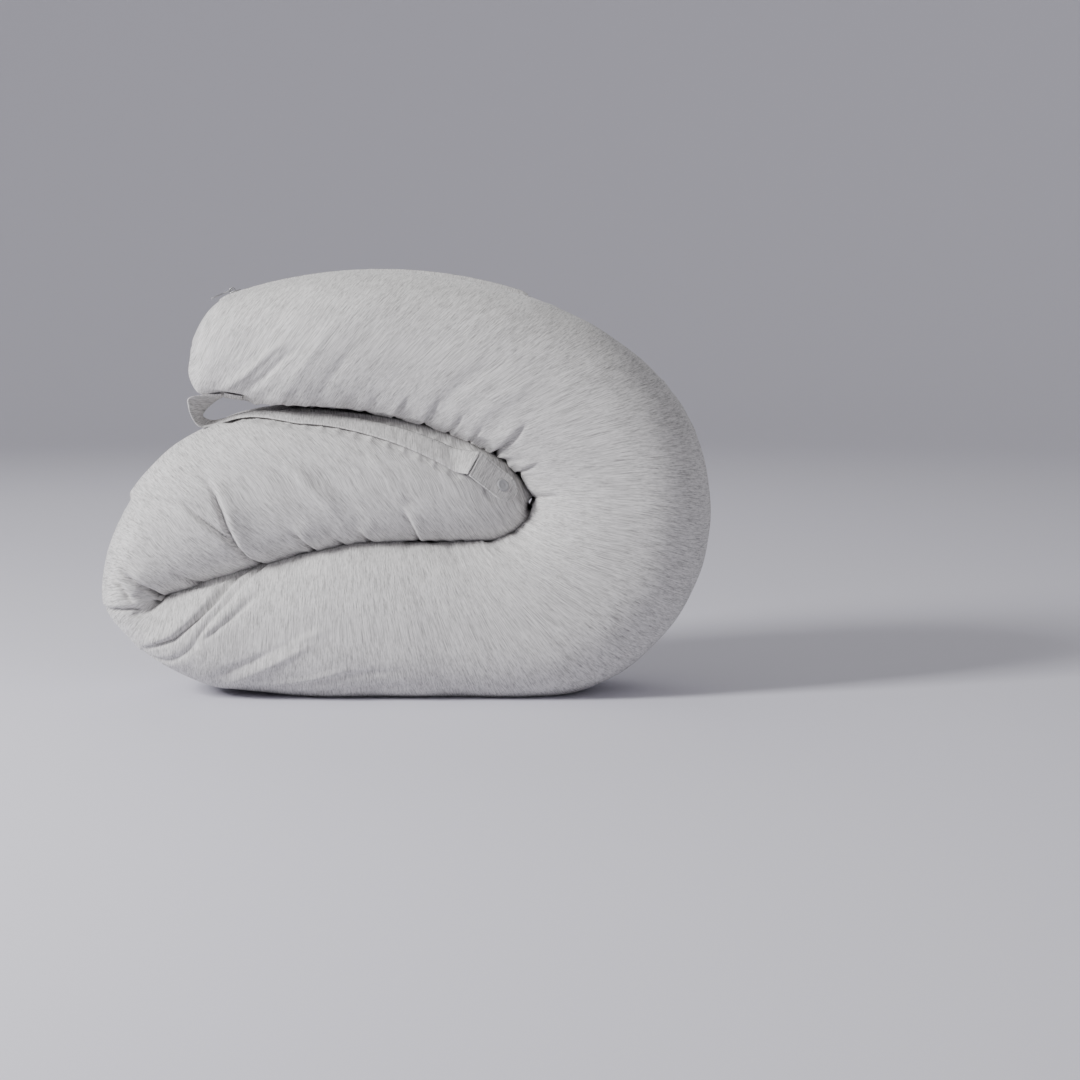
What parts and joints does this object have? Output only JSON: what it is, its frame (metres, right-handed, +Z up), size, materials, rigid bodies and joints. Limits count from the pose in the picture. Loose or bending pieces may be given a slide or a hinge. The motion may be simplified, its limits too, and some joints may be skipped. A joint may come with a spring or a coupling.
{
  "type": "nursing pillow",
  "caption": "Long crescent nursing pillow in a heather jersey cover, folded into a spiral with its fastening strap closed, with a zip along the top arm.",
  "frame": {"origin": "on the surface that the folded pillow rests on, under the middle of its outline", "axes": "+X to the right along the arms, -Y to the front, +Z up"},
  "size_m": [0.6092, 0.2162, 0.4248],
  "materials": {
    "jersey": "matte heather knit",
    "lining": "plain woven",
    "fibre": "loose fibre",
    "zip_tape": "woven tape",
    "zip_teeth": "satin nylon",
    "slider_metal": "satin enamel",
    "resin": "smooth resin",
    "label": "satin ribbon, blank"
  },
  "bodies": {
    "base": {"cover_front_base": "jersey", "cover_back_base": "jersey", "cover_front_tail": "jersey", "cover_back_tail": "jersey", "case_front_base": "lining", "case_back_base": "lining", "case_front_tail": "lining", "case_back_tail": "lining", "filling_base": "fibre", "filling_tail": "fibre", "strap": "jersey", "popper_stud": "resin", "popper_washer": "resin", "popper_patch": "jersey"},
    "top_arm": {"cover_front_top": "jersey", "cover_back_top": "jersey", "case_front_top": "lining", "case_back_top": "lining", "filling_top": "fibre", "strap_anchor": "jersey", "zip_tape_front": "zip_tape", "zip_tape_back": "zip_tape", "zip_teeth_front": "zip_teeth", "zip_teeth_back": "zip_teeth", "zip_stop_closed": "zip_teeth", "zip_stop_open": "zip_teeth", "care_label": "label"},
    "zip_slider": {"zip_slider": "slider_metal"},
    "zip_pull": {"zip_pull": "slider_metal"},
    "strap_end": {"popper_tab": "jersey", "popper_cap": "resin", "popper_socket": "resin"}
  },
  "joints": [
    {"name": "top_arm_lift", "type": "hinge", "parent": "base", "child": "top_arm", "pos_m": [0.305, 0, 0.19], "axis": [0, 1, 0], "range_deg": [0, 22]},
    {"name": "zip_travel", "type": "hinge", "parent": "top_arm", "child": "zip_slider", "pos_m": [-0.027, 0, -0.053], "axis": [0, 1, 0], "range_deg": [0, 34]},
    {"name": "pull_swing", "type": "hinge", "parent": "zip_slider", "child": "zip_pull", "pos_m": [-0.17711, 0.017, 0.40383], "axis": [0, 1, 0], "range_deg": [0, 165]},
    {"name": "popper_peel", "type": "hinge", "parent": "base", "child": "strap_end", "pos_m": [0.07008, -0.08764, 0.23596], "axis": [-0.3773, -0.6435, -0.6661], "range_deg": [0, 70]}
  ]
}
